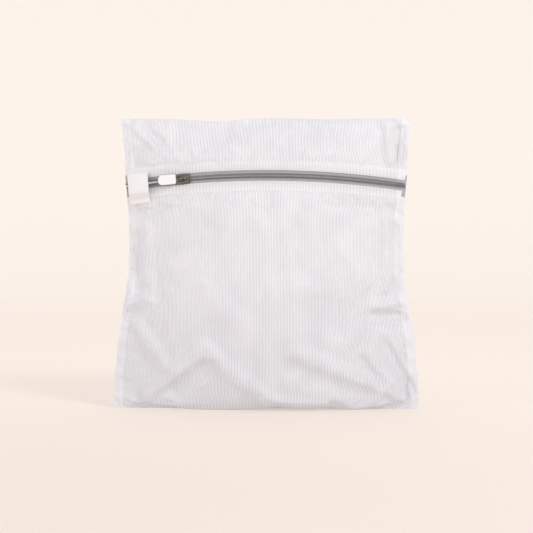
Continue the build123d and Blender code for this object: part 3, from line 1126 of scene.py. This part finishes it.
# ------------------------------------------------------------------ zip
@dataclass
class CoilZip:
    """Woven tapes with a nylon coil sewn along each, and the filler cords inside the coils."""

    line: ZipLine
    tape_edge: float = 11.0 * MM
    tape_inner: float = 0.8 * MM
    tape_thick: float = 0.5 * MM
    tape_rings: int = 300
    tape_around: int = 28
    coil_middle: float = 1.0 * MM
    coil_height: float = 1.22 * MM
    coil_reach: float = 1.05 * MM
    coil_rise: float = 0.62 * MM
    coil_pitch: float = 1.3 * MM
    wire: float = 0.28 * MM
    cord: float = 0.30 * MM
    turn_points: int = 10
    slider_at: float = -80 * MM
    parting: float = 0.85 * MM
    tape: WebbingFinish = WebbingFinish("grey_tape", (0.49, 0.515, 0.56), (0.335, 0.352, 0.383))
    nylon: MouldedFinish = MouldedFinish("grey_nylon", (0.25, 0.255, 0.27), (0.16, 0.165, 0.175), 0.45)
    filler: ThreadFinish = ThreadFinish("filler_cord", (0.45, 0.45, 0.47), (0.3, 0.3, 0.31))

    def build(self) -> list[Piece]:
        """Builds both tapes, both coils and their filler cords.

        Returns:
            The pieces made.
        """
        made = []
        tape, nylon, filler = self.tape.material(), self.nylon.material(), self.filler.material()
        for side, name in ((Side.HIGH, "upper"), (Side.LOW, "lower")):
            band = self.band(f"zip_tape_{name}", side)
            made.append(fit(band, Body.BAG, tape, f"{name}_tape"))
            coil = self.coil(f"zip_coil_{name}", side)
            made.append(fit(coil, Body.BAG, nylon, f"{name}_coil"))
            cord = self.filler_cord(f"zip_cord_{name}", side)
            made.append(fit(cord, Body.BAG, filler, f"{name}_coil_cord"))
        return made

    def middle(self, across: Array) -> Array:
        """Distance of a coil's middle from the zip's: a little more where the slider has parted them."""
        parted = smooth_step(self.slider_at + 3 * MM, self.slider_at - 16 * MM, across)
        return self.coil_middle + self.parting * parted

    def band(self, name: str, side: Side) -> Piece:
        """One tape: a flat rounded section carried along the zip.

        The section is at sign(cos a) |cos a|^0.16 across and sign(sin a) |sin a|^0.6 through.

        Args:
            name: the object's name.
            side: which tape.
        Returns:
            The tape, closed at both ends.
        """
        across = np.linspace(-self.line.end, self.line.end, self.tape_rings)[:, None]
        angle = np.linspace(0, 2 * np.pi, self.tape_around, endpoint=False)[None]
        half = (self.tape_edge - self.tape_inner) / 2
        up = np.sign(np.cos(angle)) * np.abs(np.cos(angle)) ** 0.16 * half
        up = side.value * (self.tape_edge + self.tape_inner) / 2 + up
        out = np.sign(np.sin(angle)) * np.abs(np.sin(angle)) ** 0.6 * self.tape_thick / 2
        across, up, out = np.broadcast_arrays(across, up, out)
        points = self.line.point(across, up, out)
        caps = np.broadcast_to(points[[0, -1]].mean(1, keepdims=True), (2, self.tape_around, 3))
        points = np.concatenate([caps[:1], points, caps[1:]])
        weave = np.pad(np.stack([across, up], axis=-1), ((1, 1), (0, 0), (0, 0)), mode="edge") / MM
        return close_up(surface(name, points, wrap=True, weave=weave))

    def coil(self, name: str, side: Side) -> Piece:
        """One coil: a wire wound round the filler cord as a flattened helix.

        The wire's middle is at cos(a) x reach up and sin(a) x rise out of the coil's middle, while a
        turns once in a pitch along the zip; the two coils are half a pitch apart.

        Args:
            name: the object's name.
            side: which coil.
        Returns:
            The coil.
        """
        turns = int(2 * self.line.end / self.coil_pitch)
        count = turns * self.turn_points
        share = np.arange(count) / self.turn_points
        angle = 2 * np.pi * share
        across = -self.line.end + (share + (0.0 if side is Side.HIGH else 0.5)) * self.coil_pitch
        across = np.clip(across, -self.line.end, self.line.end)
        _, _, up_way, out_way = self.line.axes(across)
        up = side.value * self.middle(across) + np.cos(angle) * self.coil_reach
        out = self.coil_height + np.sign(np.sin(angle)) * np.abs(np.sin(angle)) ** 0.8 * self.coil_rise
        centres = self.line.point(across, up, out)
        way = unit(np.gradient(centres, axis=0))
        spoke = unit(np.cos(angle)[:, None] * up_way + np.sin(angle)[:, None] * out_way)
        spoke = unit(spoke - (spoke * way).sum(-1, keepdims=True) * way)
        beside = np.cross(way, spoke)
        radii = np.full(count, self.wire)
        radii[[0, -1]] = 0.0
        points = tubes(centres[None], spoke[None], beside[None], radii, 5)
        return close_up(surfaces(name, points, wrap=True))

    def filler_cord(self, name: str, side: Side) -> Piece:
        """The round cord that a coil is wound on.

        Args:
            name: the object's name.
            side: which coil.
        Returns:
            The cord.
        """
        across = np.linspace(-self.line.end, self.line.end, 160)
        _, _, up_way, out_way = self.line.axes(across)
        centres = self.line.point(across, side.value * self.middle(across), self.coil_height)
        radii = np.full(len(across), self.cord)
        radii[[0, -1]] = 0.0
        points = tubes(centres[None], up_way[None], out_way[None], radii, 8)
        return close_up(surfaces(name, points, wrap=True))


# ------------------------------------------------------------------ slider, garage, threads
@dataclass
class SliderSet:
    """The slider, its link and its tag, which keep their CAD shapes."""

    plated: PlatedFinish = PlatedFinish("gunmetal")
    white: MouldedFinish = MouldedFinish("white_tag", (0.93, 0.95, 0.975), (0.87, 0.885, 0.915), 0.4, 500.0)

    def build(self) -> None:
        """Dresses the three nodes."""
        metal = self.plated.material()
        dress("slider_body", metal)
        dress("pull_link", metal)
        dress("pull_tag", self.white.material())


@dataclass
class Garage:
    """The ribbed elastic band over the zip's left end."""

    line: ZipLine
    start: float = -136.4 * MM
    end: float = -115.8 * MM
    low: float = -19.5 * MM
    high: float = 12.0 * MM
    foot: float = 1.7 * MM
    roof: float = 8.3 * MM
    thick: float = 0.9 * MM
    rib_height: float = 0.08 * MM
    rib_pitch: float = 1.5 * MM
    finish: WebbingFinish = WebbingFinish(
        "white_elastic", (0.94, 0.96, 0.985), (0.845, 0.86, 0.9), rib=0.9, pick=1.3, relief=0.25
    )

    def build(self) -> Piece:
        """A ribbed strip whose height out of the tape is foot + (roof - foot) x a smooth rise and fall.

        Returns:
            The band.
        """
        up = np.linspace(self.low, self.high, 60)[:, None]
        across = np.linspace(self.start, self.end, 40)[None]
        rise = smooth_step(self.low + 3 * MM, -8.0 * MM, up) * smooth_step(self.high - 1 * MM, 5.5 * MM, up)
        ribs = self.rib_height * np.cos(across * (2 * np.pi / self.rib_pitch))
        out = self.foot + (self.roof - self.foot) * rise + ribs
        up, across, out = np.broadcast_arrays(up, across, out)
        points = self.line.point(across * self.line.radius / (self.line.radius + out), up, out)
        band = surface("garage_band", points, weave=np.stack([up, across], axis=-1) / MM)
        wall = band.modifiers.new("wall", "SOLIDIFY")
        wall.thickness = self.thick
        wall.offset = 0.0
        fit(band, Body.BAG, self.finish.material(), "zip_garage")
        return band


@dataclass
class Threads:
    """Rows of stitches and the overlocked edges."""

    line: ZipLine
    form: BagForm
    garage: Garage
    stitch: float = 2.3 * MM
    overlock: float = 3.4 * MM
    pitch: float = 3.0 * MM
    radius: float = 0.2 * MM
    bow: float = 0.16 * MM
    dip: float = 0.34 * MM
    hem_row: float = 6.8 * MM
    hem_out: float = 1.5 * MM
    band_rows: tuple[float, float] = (1.5 * MM, -1.2 * MM)
    band_out: float = 0.55 * MM
    seam_low: float = 16 * MM
    seam_high: float = 272 * MM
    seam_front: float = 0.25 * MM
    lock_inset: float = 4.2 * MM
    edge_inset: float = 8.4 * MM
    slant: float = 0.45
    finish: ThreadFinish = ThreadFinish("white_thread")

    @cached_property
    def material(self) -> Material:
        """The thread's finish, made once for all rows."""
        return self.finish.material()

    def stitches(
        self, name: str, node: str, centres: Array, way: Array, out: Array, length: float
    ) -> Piece:
        """A row of stitches, each a short tube that bows out of the cloth and dips in at its ends.

        With s from -1 to 1 along a stitch, its middle is s x length / 2 along the way and
        bow - dip x s^4 out of the cloth, and its radius is the thread's x sqrt(1 - s^6).

        Args:
            name: the object's name.
            node: the CAD node that the row stands for.
            centres: middles, stitches x 3.
            way: directions along the stitches, as centres.
            out: directions out of the cloth, as centres.
            length: of one stitch.
        Returns:
            The row.
        """
        share = np.linspace(-1, 1, 7)[None, :, None]
        path = centres[:, None] + way[:, None] * share * length / 2
        path = path + out[:, None] * (self.bow - self.dip * share**4)
        side, out, _ = np.broadcast_arrays(np.cross(way, out)[:, None], out[:, None], path)
        radii = self.radius * np.sqrt(np.maximum(1 - np.abs(share[0, :, 0]) ** 6, 0))
        row = close_up(surfaces(name, tubes(path, side, out, radii, 6), wrap=True))
        return fit(row, Body.BAG, self.material, node)

    def along_zip(self, start: float, end: float, up: float, out: float) -> list[Array]:
        """A row that follows the zip.

        Args:
            start: distance across the bag where it starts.
            end: distance across where it ends.
            up: its distance up the tape.
            out: its distance out of the tape.
        Returns:
            The stitches' middles, their directions and the directions out of the cloth.
        """
        across = np.arange(start + self.pitch / 2, end, self.pitch)
        _, right, _, outward = self.line.axes(across)
        return [self.line.point(across, up, out), right, outward]

    def build(self) -> list[Piece]:
        """Builds every row.

        Returns:
            The pieces made.
        """
        made = []
        start, end = self.garage.end + 1 * MM, self.line.end - 2 * MM
        for name, side in (("upper", Side.HIGH), ("lower", Side.LOW)):
            row = self.along_zip(start, end, side.value * self.hem_row, self.hem_out)
            made.append(self.stitches(f"hem_stitch_{name}", f"{name}_hem_stitch", *row, self.stitch))
        feet = [
            self.along_zip(self.garage.start, self.garage.end, up, self.garage.foot + self.band_out)
            for up in (self.garage.low + self.band_rows[0], self.garage.high + self.band_rows[1])
        ]
        joined = [np.concatenate(parts) for parts in zip(*feet)]
        made.append(self.stitches("garage_stitches", "garage_stitch", *joined, self.stitch))
        return made + self.seams()

    def seams(self) -> list[Piece]:
        """The lockstitch and the overlocked edge of both seam allowances.

        Returns:
            The pieces made.
        """
        made = []
        rise = np.arange(self.seam_low, self.seam_high, self.pitch)
        edge, depth = self.form.half_width(rise), np.full_like(rise, -self.seam_front)
        upward, forward = np.array([0, 0, 1.0]), np.array([0, -1.0, 0])
        for name, side in (("left", -1), ("right", 1)):
            slanted = unit(np.array([1.0, 0, self.slant * side]))
            rows = (
                ("seam_stitch", self.lock_inset, upward, self.stitch),
                ("overlock", self.edge_inset, slanted, self.overlock),
            )
            for kind, inset, way, length in rows:
                centres = np.stack([side * (edge - inset), depth, rise], axis=-1)
                _, ways, outs = np.broadcast_arrays(centres, way, forward)
                made.append(self.stitches(f"{kind}_{name}", f"{name}_{kind}", centres, ways, outs, length))
        return made


# ------------------------------------------------------------------ studio
@dataclass(frozen=True)
class Lamp:
    """A square soft light: where it hangs, its side in metres and its power in watts."""

    name: str
    place: tuple[float, float, float]
    size: float
    power: float
    colour: Colour = (0.97, 0.985, 1.0)


@dataclass
class Studio:
    """Pale sweep, soft lights and the camera."""

    lamps: tuple[Lamp, ...] = (
        Lamp("key", (1.15, -1.25, 1.35), 0.6, 15.0),
        Lamp("top", (-0.1, 0.6, 2.3), 2.6, 19.0),
        Lamp("fill", (-1.7, -1.3, 0.8), 1.2, 6.0),
    )
    room_colour: Colour = (0.97, 0.975, 1.0)
    room_strength: float = 0.36
    floor: FloorFinish = FloorFinish()
    floor_radius: float = 2.4
    wall_radius: float = 3.4
    wall_height: float = 2.6
    distance: float = 1.5
    yaw: float = math.radians(2.3)
    pitch: float = math.radians(2.0)
    aim: tuple[float, float, float] = (0.0008, 0.0, 0.1418)
    frame_height: float = 0.5313

    def build(self) -> None:
        """Builds the sweep, the lights, the world and the camera."""
        self.sweep()
        for lamp in self.lamps:
            self.light(lamp)
        world = bpy.data.worlds.new("soft_room")
        world.use_nodes = True
        backdrop = world.node_tree.nodes["Background"]
        backdrop.inputs["Color"].default_value = (*self.room_colour, 1.0)
        backdrop.inputs["Strength"].default_value = self.room_strength
        bpy.context.scene.world = world
        bpy.context.scene.view_settings.view_transform = "Standard"
        self.camera()

    def sweep(self) -> None:
        """A floor that curves up into a round wall: a quarter ellipse turned about the bag's axis."""
        flat = np.stack([np.linspace(0.0, self.floor_radius, 12), np.zeros(12)], axis=-1)
        angle = np.linspace(0, np.pi / 2, 24)[1:]
        width = self.wall_radius - self.floor_radius
        away, rise = self.floor_radius + width * np.sin(angle), self.wall_height * (1 - np.cos(angle))
        outline = np.concatenate([flat, np.stack([away, rise], axis=-1)])
        turn = np.linspace(0, 2 * np.pi, 96, endpoint=False)
        away, rise = outline[:, :1], np.repeat(outline[:, 1:], len(turn), axis=1)
        points = np.stack([away * np.cos(turn), away * np.sin(turn), rise], axis=-1)
        floor = close_up(surface("studio_sweep", points, wrap=True))
        floor.data.materials.append(self.floor.material())

    def light(self, lamp: Lamp) -> None:
        """Hangs a lamp so that it looks at the bag's middle.

        Args:
            lamp: the lamp.
        """
        light = bpy.data.lights.new(lamp.name, "AREA")
        light.size = lamp.size
        light.energy = lamp.power
        light.color = lamp.colour
        holder = bpy.data.objects.new(lamp.name, light)
        holder.location = lamp.place
        holder.rotation_euler = (Vector(self.aim) - Vector(lamp.place)).to_track_quat("-Z", "Y").to_euler()
        bpy.context.scene.collection.objects.link(holder)

    def camera(self) -> None:
        """A long lens, a little to the right of the bag's middle and a little above it."""
        level = math.cos(self.pitch)
        back = Vector((math.sin(self.yaw) * level, -math.cos(self.yaw) * level, math.sin(self.pitch)))
        lens = bpy.data.cameras.new("camera")
        lens.sensor_width = 36.0
        lens.lens = lens.sensor_width * self.distance / self.frame_height
        holder = bpy.data.objects.new("camera", lens)
        holder.location = Vector(self.aim) + back * self.distance
        holder.rotation_euler = (-back).to_track_quat("-Z", "Y").to_euler()
        bpy.context.scene.collection.objects.link(holder)
        bpy.context.scene.camera = holder


def main() -> None:
    """Builds the studio and the bag."""
    logging.basicConfig(level=logging.INFO, format="%(name)s: %(message)s")
    Studio().build()
    zip_line, form = ZipLine(), BagForm()
    pieces = NetPanels(form, zip_line).build()
    pieces += CoilZip(zip_line).build()
    SliderSet().build()
    garage = Garage(zip_line)
    pieces.append(garage.build())
    pieces += Threads(zip_line, form, garage).build()
    LOG.info("%d new pieces", len(pieces))


if __name__ == "__main__":
    main()
